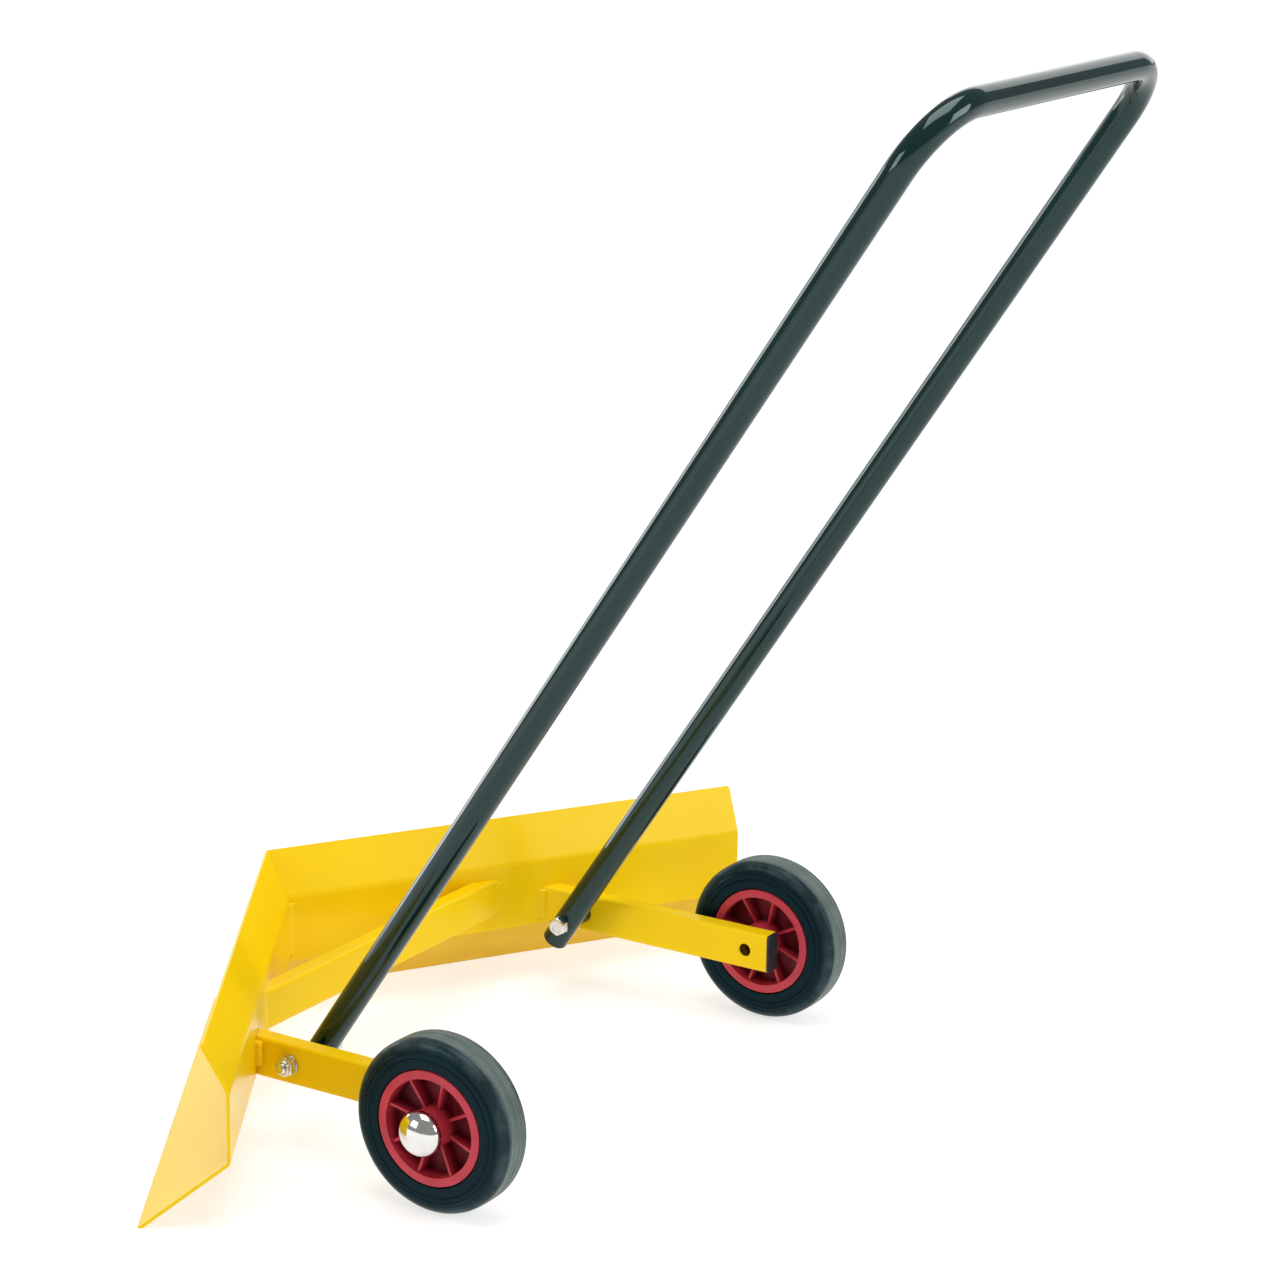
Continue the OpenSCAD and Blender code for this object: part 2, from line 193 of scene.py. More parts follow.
def dress(obj, node):
    """Gives a piece its body, slot and material, and lets it stand for its CAD node."""
    obj.data.materials.clear()
    obj.data.materials.append(MATERIALS[SLOT_OF[node]])
    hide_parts(node)
    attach(obj, BODY_OF[node])
    return obj


def shade(mesh, angle=35):
    """Smooth shading, broken at edges sharper than an angle."""
    for polygon in mesh.polygons:
        polygon.use_smooth = True
    mesh.set_sharp_from_angle(angle=math.radians(angle))


def piece(name, node, shape, bevel=0.0, sharp=35):
    """New piece from a shape, with an optional small rounding of its hard edges."""
    verts, faces = shape
    mesh = bpy.data.meshes.new(name)
    mesh.from_pydata(verts, [], faces)
    bm = bmesh.new()
    bm.from_mesh(mesh)
    bmesh.ops.remove_doubles(bm, verts=bm.verts, dist=1e-7)
    bmesh.ops.recalc_face_normals(bm, faces=bm.faces)
    bm.to_mesh(mesh)
    bm.free()
    shade(mesh, sharp)
    obj = bpy.data.objects.new(name, mesh)
    bpy.context.scene.collection.objects.link(obj)
    if bevel:
        soften(obj, bevel, sharp)
    return dress(obj, node)


def soften(obj, width, angle):
    """Rounds the edges sharper than an angle and keeps the flats flat."""
    mod = obj.modifiers.new("edges", "BEVEL")
    mod.width = width
    mod.segments = 2
    mod.limit_method = "ANGLE"
    mod.angle_limit = math.radians(angle)
    mod.harden_normals = True
    mod.miter_outer = "MITER_ARC"
    flat = obj.modifiers.new("flats", "WEIGHTED_NORMAL")
    flat.keep_sharp = True


def copied(name, node, bevel, sharp=35):
    """A copy of a CAD node whose flats are merged and whose hard edges are rounded."""
    bm = bmesh.new()
    bm.from_mesh(frame["nodes"][node].data)
    bmesh.ops.remove_doubles(bm, verts=bm.verts, dist=2e-6)
    bmesh.ops.dissolve_limit(bm, angle_limit=math.radians(0.5), verts=bm.verts, edges=bm.edges)
    mesh = bpy.data.meshes.new(name)
    bm.to_mesh(mesh)
    bm.free()
    shade(mesh, sharp)
    obj = bpy.data.objects.new(name, mesh)
    bpy.context.scene.collection.objects.link(obj)
    soften(obj, bevel, sharp)
    return dress(obj, node)


# ------------------------------------------------------------------ materials

# Noise and cell scales are per metre: 5 gives patches of about 200 mm, 1500 a grain under 1 mm.

class Graph:
    """Short names for building one material's nodes."""

    def __init__(self, name):
        self.material = bpy.data.materials.new(name)
        self.material.use_nodes = True
        self.nodes = self.material.node_tree.nodes
        self.links = self.material.node_tree.links
        self.shader = self.nodes["Principled BSDF"]
        self.place = self.nodes.new("ShaderNodeTexCoord").outputs["Object"]

    def link(self, source, target):
        self.links.new(source, target)

    def noise(self, scale, detail=3.0, rough=0.5, stretch=None, distort=0.0):
        node = self.nodes.new("ShaderNodeTexNoise")
        node.inputs["Scale"].default_value = scale
        node.inputs["Detail"].default_value = detail
        node.inputs["Roughness"].default_value = rough
        node.inputs["Distortion"].default_value = distort
        source = self.place
        if stretch:
            mapping = self.nodes.new("ShaderNodeMapping")
            mapping.inputs["Scale"].default_value = stretch
            self.link(source, mapping.inputs["Vector"])
            source = mapping.outputs["Vector"]
        self.link(source, node.inputs["Vector"])
        return node.outputs["Fac"]

    def cells(self, scale):
        node = self.nodes.new("ShaderNodeTexVoronoi")
        node.inputs["Scale"].default_value = scale
        self.link(self.place, node.inputs["Vector"])
        return node.outputs["Distance"]

    def spread(self, value, low, high, start=0.3, end=0.7):
        """Maps a value from start..end to low..high."""
        node = self.nodes.new("ShaderNodeMapRange")
        node.interpolation_type = "SMOOTHSTEP"
        for key, number in (("From Min", start), ("From Max", end), ("To Min", low), ("To Max", high)):
            node.inputs[key].default_value = number
        self.link(value, node.inputs["Value"])
        return node.outputs["Result"]

    def noise_of(self, value, scale):
        """Noise along one value, such as a radius."""
        node = self.nodes.new("ShaderNodeTexNoise")
        node.noise_dimensions = "1D"
        node.inputs["Scale"].default_value = scale
        node.inputs["Detail"].default_value = 3
        self.link(value, node.inputs["W"])
        return node.outputs["Fac"]

    def along(self, axis):
        """One coordinate of the point that is shaded."""
        node = self.nodes.new("ShaderNodeSeparateXYZ")
        self.link(self.place, node.inputs["Vector"])
        return node.outputs[axis]

    def size(self, value):
        """A value without its sign."""
        return self.math("ABSOLUTE", value, 0.0)

    def length(self, a, b):
        """Length of a vector in a plane."""
        square = self.math("ADD", self.math("MULTIPLY", a, a), self.math("MULTIPLY", b, b))
        return self.math("POWER", square, 0.5)

    def from_wheel_plane(self):
        """Distance from the middle plane of the nearer wheel."""
        return self.size(self.math("SUBTRACT", self.size(self.along("X")), HUB.x))

    def from_axle(self):
        """Distance from the axle's line."""
        return self.length(self.math("SUBTRACT", self.along("Y"), HUB.y),
                           self.math("SUBTRACT", self.along("Z"), HUB.z))

    def underside(self):
        """1 where the surface faces the ground, 0 elsewhere."""
        node = self.nodes.new("ShaderNodeSeparateXYZ")
        self.link(self.nodes.new("ShaderNodeNewGeometry").outputs["Normal"], node.inputs["Vector"])
        return self.spread(node.outputs["Z"], 1, 0, -0.75, -0.35)

    def from_centre(self):
        """Distance from the vertical line through the origin."""
        return self.length(self.along("X"), self.along("Y"))

    def math(self, kind, a, b):
        node = self.nodes.new("ShaderNodeMath")
        node.operation = kind
        for socket, value in zip(node.inputs, (a, b)):
            if isinstance(value, (int, float)):
                socket.default_value = value
            else:
                self.link(value, socket)
        return node.outputs["Value"]

    def mix(self, factor, a, b):
        """Mixes two colours, each a tuple or a socket."""
        node = self.nodes.new("ShaderNodeMix")
        node.data_type = "RGBA"
        self.link(factor, node.inputs["Factor"])
        for key, value in (("A", a), ("B", b)):
            socket = [s for s in node.inputs if s.name == key and s.type == "RGBA"][0]
            if isinstance(value, tuple):
                socket.default_value = (*value, 1)
            else:
                self.link(value, socket)
        return [s for s in node.outputs if s.type == "RGBA"][0]

    def bump(self, value, distance, after=None):
        node = self.nodes.new("ShaderNodeBump")
        node.inputs["Strength"].default_value = 1.0
        node.inputs["Distance"].default_value = distance
        self.link(value, node.inputs["Height"])
        if after:
            self.link(after, node.inputs["Normal"])
        return node.outputs["Normal"]

    def set(self, **values):
        """Sets uniform values, or links sockets, on the shader."""
        for key, value in values.items():
            socket = self.shader.inputs[key.replace("_", " ")]
            if isinstance(value, bpy.types.NodeSocket):
                self.link(value, socket)
            else:
                socket.default_value = (*value, 1) if isinstance(value, tuple) else value
        return self.material


def powder_coat(name, colour, shaded, roughness, peel, ior, scuffed=None, painted_underside_shade=None,
                shine=(1.0, 1.0, 1.0)):
    """Gloss powder coat: slow colour drift, orange peel, rubbed paint by the floor, dull undersides in painted
    shade.
    """
    g = Graph(name)
    tint = g.mix(g.spread(g.noise(5, 3), 0, 1), colour, shaded)
    rough = g.spread(g.noise(10, 2), roughness * 0.95, roughness * 1.10)
    if painted_underside_shade:
        # Painted shade: faces turned to the ground take the darker, more orange colour, and a rougher finish.
        below = g.math("MULTIPLY", g.underside(), g.spread(g.noise(24, 4), 0.80, 1.0))
        tint = g.mix(below, tint, painted_underside_shade)
        rough = g.math("ADD", rough, g.math("MULTIPLY", below, 0.40))
    if scuffed:
        edge = g.spread(g.along("Z"), 1, 0, 0.3 * MM, 3.5 * MM)
        patch = g.spread(g.noise(160, 6, 0.7, (1, 1, 3)), 0, 1, 0.46, 0.66)
        mask = g.math("MULTIPLY", edge, patch)
        tint = g.mix(mask, tint, scuffed)
        rough = g.math("ADD", rough, g.math("MULTIPLY", mask, 0.25))
    coarse = g.bump(g.noise(330, 2), peel)
    fine = g.bump(g.noise(1500, 2), peel * 0.25, coarse)
    return g.set(Base_Color=tint, Roughness=rough, Normal=fine, IOR=ior, Specular_Tint=shine)


def moulded(name, colour, shaded, roughness, grain, grain_scale=1800):
    """Moulded plastic: faint flow marks and a fine grain."""
    g = Graph(name)
    flow = g.spread(g.noise(26, 4, 0.6, distort=0.8), 0, 1)
    tint = g.mix(flow, colour, shaded)
    rough = g.spread(g.noise(90, 4), roughness * 0.85, roughness * 1.2)
    waves = g.bump(g.noise(120, 2), grain * 3)
    texture = g.bump(g.noise(grain_scale, 3), grain, waves)
    return g.set(Base_Color=tint, Roughness=rough, Normal=texture, IOR=1.42)


def wheel_centre_plastic(name):
    """Glossy red moulding, with painted shade that darkens the depths of its pockets."""
    g = Graph(name)
    flow = g.spread(g.noise(26, 4, 0.6, distort=0.8), 0, 1)
    tint = g.mix(flow, (0.52, 0.038, 0.062), (0.45, 0.028, 0.048))
    # Painted shade: the colour darkens to near black towards the web, where the pockets are deepest.
    depth = g.spread(g.from_wheel_plane(), 1, 0, WEB_HALF, RIB_AT_RING)
    painted_pocket_shade = g.math("MULTIPLY", depth, g.spread(g.noise(60, 5), 0.80, 1.0))
    tint = g.mix(painted_pocket_shade, tint, (0.12, 0.002, 0.009))
    rough = g.math("ADD", g.spread(g.noise(90, 4), 0.24, 0.36), g.math("MULTIPLY", painted_pocket_shade, 0.2))
    waves = g.bump(g.noise(120, 2), 0.03 * MM)
    texture = g.bump(g.noise(1800, 3), 0.01 * MM, waves)
    return g.set(Base_Color=tint, Roughness=rough, Normal=texture, IOR=1.38)


def rubber(name):
    """Solid rubber: smooth blue-black side walls, scuffed shoulders lightened to stand in for their sheen, and a
    dust-covered tread with marks that run round it.
    """
    g = Graph(name)
    radius = g.from_axle()
    wall = g.mix(g.spread(g.noise(30, 5), 0, 1), (0.0003, 0.004, 0.007), (0.0006, 0.007, 0.011))
    bands = g.spread(g.noise_of(radius, 420), 0, 1, 0.35, 0.65)
    wall = g.mix(g.math("MULTIPLY", bands, 0.25), wall, (0.010, 0.028, 0.036))
    specks = g.spread(g.cells(260), 1, 0, 0.03, 0.10)
    sparse = g.spread(g.noise(70, 3), 0, 1, 0.55, 0.70)
    wall = g.mix(g.math("MULTIPLY", specks, sparse), wall, (0.10, 0.13, 0.13))
    streaks = g.spread(g.noise(9, 5, 0.7, (60, 1, 1)), 0, 1, 0.35, 0.65)
    dust = g.mix(streaks, (0.085, 0.110, 0.100), (0.200, 0.240, 0.215))
    # Scuff marks on the shoulder, made lighter than wear alone so that they also stand in for the shoulder's
    # sheen: partly wear, partly painted highlight.
    scuffs_and_sheen = g.math("MULTIPLY", g.spread(radius, 0, 0.8, TYRE_R - 11 * MM, TYRE_R - 3 * MM),
                    g.spread(g.noise(38, 5, 0.6), 0.35, 1.0, 0.40, 0.62))
    wall = g.mix(scuffs_and_sheen, wall, (0.052, 0.074, 0.074))
    tread = g.math("MULTIPLY", g.spread(radius, 0, 1, TYRE_R - 3 * MM, TYRE_R - 1.2 * MM),
                   g.spread(g.from_wheel_plane(), 1, 0, 8 * MM, 13 * MM))
    worn = g.math("MULTIPLY", tread, g.spread(g.noise(45, 4), 0.65, 1.0))
    tint = g.mix(worn, wall, dust)
    rough = g.math("ADD", g.spread(g.noise(55, 5), 0.22, 0.32), g.math("MULTIPLY", worn, 0.25))
    skin_bump = g.bump(g.noise(900, 4), 0.03 * MM)
    scratches = g.bump(g.math("MULTIPLY", streaks, worn), 0.05 * MM, skin_bump)
    return g.set(Base_Color=tint, Roughness=rough, Normal=scratches, IOR=1.26,
                 Specular_Tint=(0.28, 0.78, 1.0))


def plated(name, colour, stained, roughness, stretch=None):
    """Plated steel: cloudy colour, and fine marks that a stretch turns into brushing."""
    g = Graph(name)
    tint = g.mix(g.spread(g.noise(110, 5), 0, 1), colour, stained)
    rough = g.spread(g.noise(260, 4, 0.6, stretch), roughness * 0.7, roughness * 1.4)
    marks = g.bump(g.noise(900, 3, 0.5, stretch), 0.012 * MM)
    return g.set(Base_Color=tint, Roughness=rough, Normal=marks, Metallic=1.0)


def polished(name):
    """Bright chrome with faint smudges."""
    g = Graph(name)
    tint = g.mix(g.spread(g.noise(60, 4), 0, 1), (0.80, 0.79, 0.76), (0.72, 0.71, 0.68))
    rough = g.spread(g.noise(140, 5, 0.6), 0.08, 0.16, 0.45, 0.75)
    marks = g.bump(g.noise(260, 2), 0.006 * MM)
    return g.set(Base_Color=tint, Roughness=rough, Normal=marks, Metallic=1.0)


MATERIALS = {
    "yellow_paint": powder_coat("yellow_powder_coat", (0.93, 0.635, 0.004), (0.90, 0.585, 0.003),
                                0.22, 0.0025 * MM, 1.21, scuffed=(0.60, 0.40, 0.08),
                                # The last colour is painted shade for faces turned to the ground.
                                painted_underside_shade=(0.72, 0.44, 0.010)),
    "black_paint": powder_coat("black_powder_coat", (0.0005, 0.014, 0.013), (0.001, 0.019, 0.018),
                               0.07, 0.003 * MM, 1.5, shine=(0.80, 1.0, 0.98)),
    "red_plastic": wheel_centre_plastic("red_plastic"),
    "black_plastic": moulded("black_plastic", (0.010, 0.014, 0.020), (0.018, 0.022, 0.028),
                             0.40, 0.02 * MM),
    "nylon": moulded("nylon", (0.70, 0.67, 0.58), (0.62, 0.58, 0.48), 0.42, 0.008 * MM),
    "tyre": rubber("tyre_rubber"),
    "zinc": plated("zinc_plate", (0.74, 0.74, 0.72), (0.60, 0.61, 0.60), 0.22, (1, 6, 6)),
    "chrome": polished("chrome"),
}


# ------------------------------------------------------------------ blade

SIDE_BEVEL = 0.35 * MM


def sheet_stations():
    """Middle line of the sheet from its lower fold to its top, as (point, heading) in (forward, up)."""
    lower_head = math.pi - LOWER_ANGLE
    upper_head = math.pi / 2 - UPPER_TILT
    low_r = FOLD_R + SHEET / 2
    high_r = UPPER_FOLD_R + SHEET / 2
    low_tan = math.tan((lower_head - math.pi / 2) / 2)
    high_tan = math.tan((math.pi / 2 - upper_head) / 2)
    back_fold = LOWER * math.sin(LOWER_ANGLE)
    low_fold = Vector((-SHEET / 2, back_fold - SHEET / 2 * low_tan))
    high_fold = Vector((-SHEET / 2, back_fold + MIDDLE + SHEET / 2 * high_tan))
    low_centre = low_fold + Vector((low_r, low_r * low_tan))
    high_centre = high_fold + Vector((high_r, -high_r * high_tan))
    top = high_fold + turn(upper_head) * (UPPER + SHEET / 2 * high_tan)
    steps = 12

    def arc(centre, radius, start, end):
        angles = [start + (end - start) * i / steps for i in range(steps + 1)]
        return [(centre + radius * turn(a + math.pi / 2), a) for a in angles]

    return (arc(low_centre, low_r, lower_head, math.pi / 2)
            + arc(high_centre, high_r, math.pi / 2, upper_head) + [(top, upper_head)])


def sheet_face(offset):
    """One face of the sheet from toe to top, as (point, distance from its edge, corner radius).

    The distance stops at the corner radius, since it has no effect beyond that.
    """
    face = [p + offset * turn(a + math.pi / 2) for p, a in sheet_stations()]
    rise = turn(math.pi - LOWER_ANGLE)
    toe = face[0] - rise * (face[0].y / rise.y)
    lean = turn(math.pi / 2 - UPPER_TILT)
    return ([(toe + rise * d, d, TOE_CORNER) for d in CORNER_STEPS]
            + [(p, TOP_CORNER, TOP_CORNER) for p in face[:-1]]
            + [(face[-1] - lean * d, d, TOP_CORNER) for d in reversed(CORNER_STEPS)])


def wing(side, spans=12):
    """One wing: mitred on the middle plane at the nose, square at its outer end with round corners."""
    outline = sheet_face(-SHEET / 2) + sheet_face(SHEET / 2)[::-1]
    toe = max(point.x for point, _, _ in outline)
    nose_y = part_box("left_blade")[0].y + toe / math.cos(SWEEP)
    rings = []
    for k in range(spans + 1):
        ring = []
        for (forward, z), edge, radius in outline:
            start = -forward * math.tan(SWEEP)
            missing = max(0.0, radius - edge)
            end = WING - radius + math.sqrt(radius ** 2 - missing ** 2)
            out = start + (end - start) * k / spans
            x = out * math.cos(SWEEP) + forward * math.sin(SWEEP)
            y = nose_y + out * math.sin(SWEEP) - forward * math.cos(SWEEP)
            ring.append((side * x, y, z))
        rings.append(ring)
    verts, faces = skin(rings, caps=False)
    count = len(outline)
    for first in (0, spans * count):
        faces += [(first + i, first + i + 1, first + count - 2 - i, first + count - 1 - i)
                  for i in range(count // 2 - 1)]
    return verts, faces


for side_name, sign in SIDES.items():
    piece(f"{side_name}_blade_sheet", f"{side_name}_blade", wing(sign), bevel=SIDE_BEVEL, sharp=50)

# ------------------------------------------------------------------ brace, arms and welds

def bead(corner, along, length, leg_a, leg_b, pitch=3.2 * MM, bulge=0.62):
    """Fillet weld: laid from a corner point along a direction, between two legs, with ripples."""
    spacing, sink, end_taper, slant = 0.35 * MM, 0.15 * MM, 1.6 * MM, 0.25 * MM
    end_size, wave, across = 0.25, 0.04, 8
    rings = []
    count = max(12, round(length / spacing))
    inward = -(leg_a.normalized() + leg_b.normalized()).normalized() * sink
    for k in range(count + 1):
        t = k / count
        taper = min(1.0, min(t, 1 - t) * length / end_taper + end_size)
        ripple = 1 - wave + wave * abs(math.sin(math.pi * t * length / pitch)) ** 0.6
        size = math.sqrt(taper) * ripple
        lean = slant * math.sin(2 * math.pi * t * length / pitch)
        base = corner + along * (t * length) + inward
        ring = [base]
        for j in range(across + 1):
            u = j / across
            chord = leg_a * (1 - u) + leg_b * u
            swell = (leg_a + leg_b) * (bulge * u * (1 - u))
            point = base + (chord + swell) * size
            ring.append(point + along * (lean * math.sin(math.pi * u)))
        rings.append([tuple(p) for p in ring])
    return skin(rings)


BACK_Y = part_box("nose_weld")[0].y
WING_DIR = Vector((math.cos(SWEEP), math.sin(SWEEP), 0))
UP = Vector((0, 0, 1))


def wing_back(x):
    """Where the back face of the middle panels stands at a distance from the middle plane."""
    return BACK_Y + abs(x) * math.tan(SWEEP)


def mirror_x(shape):
    """A left shape as a right one."""
    verts, faces = shape
    return [(-x, y, z) for x, y, z in verts], faces


def sided(shape, sign):
    """A left shape for the side that the sign gives."""
    return shape if sign > 0 else mirror_x(shape)


def nose_bead():
    """Upright bead in the inner corner of the nose."""
    low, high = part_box("nose_weld")
    leg = (high.x - low.x) / 2 / math.cos(SWEEP)
    left = WING_DIR * leg
    right = Vector((-left.x, left.y, 0))
    return bead(Vector((0, BACK_Y, low.z)), UP, high.z - low.z, left, right)


def brace_beads():
    """Upright bead at each end of the brace."""
    low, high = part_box("brace_welds")
    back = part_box("cross_brace")[1].y
    x = (back - BACK_Y) / math.tan(SWEEP)
    leg = (high.x - x) / math.cos(SWEEP)
    left = bead(Vector((x, back, low.z)), UP, high.z - low.z, WING_DIR * leg, Vector((-leg, 0, 0)))
    return joined(left, mirror_x(left))


def arm_beads():
    """Fat bead in the sharp outer corner, thin one in the open inner corner."""
    low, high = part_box("left_arm_weld")
    inner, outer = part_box("left_arm")[0].x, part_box("left_arm")[1].x
    fat = (high.x - outer) / math.cos(SWEEP)
    thin = (inner - low.x) / math.cos(SWEEP)
    fat_start = 8 * MM
    fat_bead = bead(Vector((outer, wing_back(outer), low.z + fat_start)), UP, high.z - low.z - fat_start,
                    WING_DIR * fat, Vector((0, fat, 0)), bulge=0.8)
    thin_bead = bead(Vector((inner, wing_back(inner), low.z)), UP, high.z - low.z,
                     Vector((0, thin, 0)), -WING_DIR * thin)
    return joined(fat_bead, thin_bead)


piece("nose_weld_bead", "nose_weld", nose_bead(), sharp=60)
piece("brace_weld_beads", "brace_welds", brace_beads(), sharp=60)
copied("brace_tube", "cross_brace", bevel=0.4 * MM, sharp=40)
for side_name, sign in SIDES.items():
    piece(f"{side_name}_arm_weld_beads", f"{side_name}_arm_weld", sided(arm_beads(), sign), sharp=60)
    copied(f"{side_name}_arm_tube", f"{side_name}_arm", bevel=0.3 * MM, sharp=40)
    copied(f"{side_name}_arm_end_cap", f"{side_name}_arm_cap", bevel=0.7 * MM, sharp=40)

# ------------------------------------------------------------------ wheels

def tyre_outline():
    """Section of the solid tyre as (along, radius): seat, stepped wall, round shoulder, crowned tread."""
    seat = RIM_R - FLANGE
    fit = 0.1 * MM
    crown = 0.5 * MM
    step_r, step = 70 * MM, 0.8 * MM
    shoulder = 10 * MM
    line = 0.5 * MM
    groove_r, groove = 63 * MM, 0.6 * MM
    gap = 1.1 * MM
    wall = TYRE_HALF - step
    bottom = TYRE_HALF - FLANGE - fit
    tight, soft, lip = 0.3 * MM, 0.5 * MM, 0.8 * MM
    line_edge = 0.2 * MM
    beside_line = TYRE_R - 0.05 * MM
    half = [(0, seat, 0), (bottom, seat, tight), (bottom, RIM_R + gap, tight),
            (TYRE_HALF, RIM_R + gap, lip), (TYRE_HALF, groove_r - groove, tight),
            (TYRE_HALF - groove, groove_r, tight), (TYRE_HALF, groove_r + groove, tight),
            (TYRE_HALF, step_r - step, soft), (wall, step_r, soft),
            (wall, TYRE_R - crown, shoulder - step), (3 * line, beside_line, line_edge),
            (line, TYRE_R - line, line_edge)]
    other = [(-x, r, radius) for x, r, radius in reversed(half[1:])]
    return [tuple(p) for p in rounded(half + other, steps=8)]


def ramp(value, start, end):
    """0 before start, 1 after end, smooth between."""
    t = min(1.0, max(0.0, (value - start) / (end - start)))
    return t * t * (3 - 2 * t)


def rim_height(r, off_rib):
    """Half thickness of the rim at a radius, and at a distance across from the nearest rib's middle."""
    hub = WEB_HALF + (HUB_HALF - WEB_HALF) * (1 - ramp(r, HUB_R, HUB_R + HUB_DRAFT))
    ring = WEB_HALF + (TYRE_HALF - WEB_HALF) * ramp(r, RING_R - RING_DRAFT, RING_R)
    t = (r - HUB_R) / (RING_R - HUB_R)
    rib_top = RIB_AT_HUB + (RIB_AT_RING - RIB_AT_HUB) * min(1.0, max(0.0, t))
    off_top = ramp(off_rib, RIB_HALF - RIB_EDGE, RIB_HALF + RIB_DRAFT)
    rib = WEB_HALF + (rib_top - WEB_HALF) * (1 - off_top)
    return max(hub, ring, rib)


def rim_radii():
    """Radii of the rim's rows, close together where its walls are steep."""
    def steps(start, end, count):
        return [start + (end - start) * i / count for i in range(count)]

    hub_foot = HUB_R + HUB_DRAFT
    ring_foot = RING_R - RING_DRAFT
    return (steps(HUB_R - 3 * MM, HUB_R, 2) + steps(HUB_R, hub_foot, 8) + steps(hub_foot, ring_foot, 12)
            + steps(ring_foot, RING_R, 8) + [RING_R, RING_R + RIM_EDGE, RIM_R - 2 * RIM_EDGE])


def rim_columns(r):
    """Angles round the rim at a radius, each with its distance across from the nearest rib's middle.

    They are close together on the flanks of the ribs, and in the pockets the distance is just large.
    """
    wall = [w * MM for w in (0.0, 0.9, 1.2, 1.35, 1.5, 1.65, 1.8, 1.95, 2.1, 2.3, 2.8)]
    pocket_steps, in_pocket = 6, 1.0
    pitch = 2 * math.pi / RIBS
    columns = []
    for k in range(RIBS):
        middle = RIB_PHASE + k * pitch
        following = middle + pitch
        first, last = middle + wall[-1] / r, following - wall[-1] / r
        columns += [(middle + w / r, w) for w in wall]
        columns += [(first + (last - first) * i / pocket_steps, in_pocket) for i in range(1, pocket_steps)]
        columns += [(following - w / r, w) for w in reversed(wall[1:])]
    return columns


def rim_shape():
    """Moulded wheel centre: hub, web and flanges, with ribs on both faces."""
    def row(r, face):
        return [(face * rim_height(r, off), r * math.cos(a), r * math.sin(a)) for a, off in rim_columns(r)]

    def plain(r, x):
        return [(x, r * math.cos(a), r * math.sin(a)) for a, _ in rim_columns(r)]

    seat = RIM_R - FLANGE
    outside = TYRE_HALF - FLANGE
    chip = 0.3 * RIM_EDGE
    bore = [plain(BORE_R, HUB_HALF - RIM_EDGE), plain(BORE_R + RIM_EDGE, HUB_HALF)]
    front = bore + [row(r, 1) for r in rim_radii()]
    around = [plain(RIM_R - chip, TYRE_HALF - chip), plain(RIM_R, TYRE_HALF - RIM_EDGE),
              plain(RIM_R, outside), plain(seat, outside), plain(seat, -outside), plain(RIM_R, -outside),
              plain(RIM_R, RIM_EDGE - TYRE_HALF), plain(RIM_R - chip, chip - TYRE_HALF)]
    back = [row(r, -1) for r in reversed(rim_radii())]
    back += [plain(BORE_R + RIM_EDGE, -HUB_HALF), plain(BORE_R, RIM_EDGE - HUB_HALF)]
    return skin(front + around + back, closed=True)


def cap_shape():
    """Pressed axle cap: a thin dome with a rolled edge, open at its base for the axle."""
    low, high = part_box("left_axle_cap")
    radius = (high.y - low.y) / 2
    length = high.x - low.x
    skirt, wall, mouth = 2 * MM, 1 * MM, 10 * MM
    lip, roll, tip = 0.5 * MM, 0.25 * MM, 0.05 * MM
    steps = 40
    quarter = [math.pi / 2 * i / steps for i in range(steps)]
    outside = [(skirt + (length - skirt) * math.sin(a), radius * math.cos(a)) for a in quarter]
    inside = [(skirt + (length - skirt - wall) * math.sin(a), (radius - wall) * math.cos(a))
              for a in quarter]
    rolled = [(lip, mouth), (0, mouth + lip), (0, radius - 0.8 * MM), (roll, radius - roll),
              (0.9 * MM, radius)]
    under = [(wall, radius - wall - lip), (wall, mouth)]
    outer = [circle(x, r) for x, r in rolled + outside] + [circle(length, tip)]
    inner = [circle(length - wall, tip)] + [circle(x, r) for x, r in reversed(inside)]
    verts, faces = skin(outer, caps=False)
    count = len(circle(0, 1))
    faces.append(tuple(len(verts) - count + j for j in range(count)))
    more_verts, more_faces = skin(inner + [circle(x, r) for x, r in under], caps=False)
    more_faces.append(tuple(range(count)))
    shape = joined((verts, faces), (more_verts, more_faces))
    end = len(verts) + len(more_verts) - count
    bridge = [(j, (j + 1) % count, end + (j + 1) % count, end + j) for j in range(count)]
    return shape[0], shape[1] + bridge


for side_name, sign in SIDES.items():
    piece(f"{side_name}_tyre_rubber", f"{side_name}_tyre",
          placed(lathe(tyre_outline(), count=160), HUB, sign), sharp=50)
    piece(f"{side_name}_wheel_centre", f"{side_name}_rim", placed(rim_shape(), HUB, sign), sharp=38)
    cap_base = Vector((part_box("left_axle_cap")[0].x, HUB.y, HUB.z))
    piece(f"{side_name}_axle_dome", f"{side_name}_axle_cap", placed(cap_shape(), cap_base, sign), sharp=50)
    for part in ("axle", "inner_washer", "outer_washer", "inner_bush", "outer_bush"):
        copied(f"{side_name}_{part}_turned", f"{side_name}_{part}", bevel=0.25 * MM, sharp=40)

# ------------------------------------------------------------------ pivots

def hex_ring(x, flats, limit, count=96):
    """Ring of a hexagon about X, given across its flats, with corners cut back to a limiting radius."""
    ring = []
    for j in range(count):
        angle = 2 * math.pi * j / count
        fold = (angle + math.pi / 6) % (math.pi / 3) - math.pi / 6
        radius = min(flats / 2 / math.cos(fold), limit)
        ring.append((x, radius * math.cos(angle), radius * math.sin(angle)))
    return ring


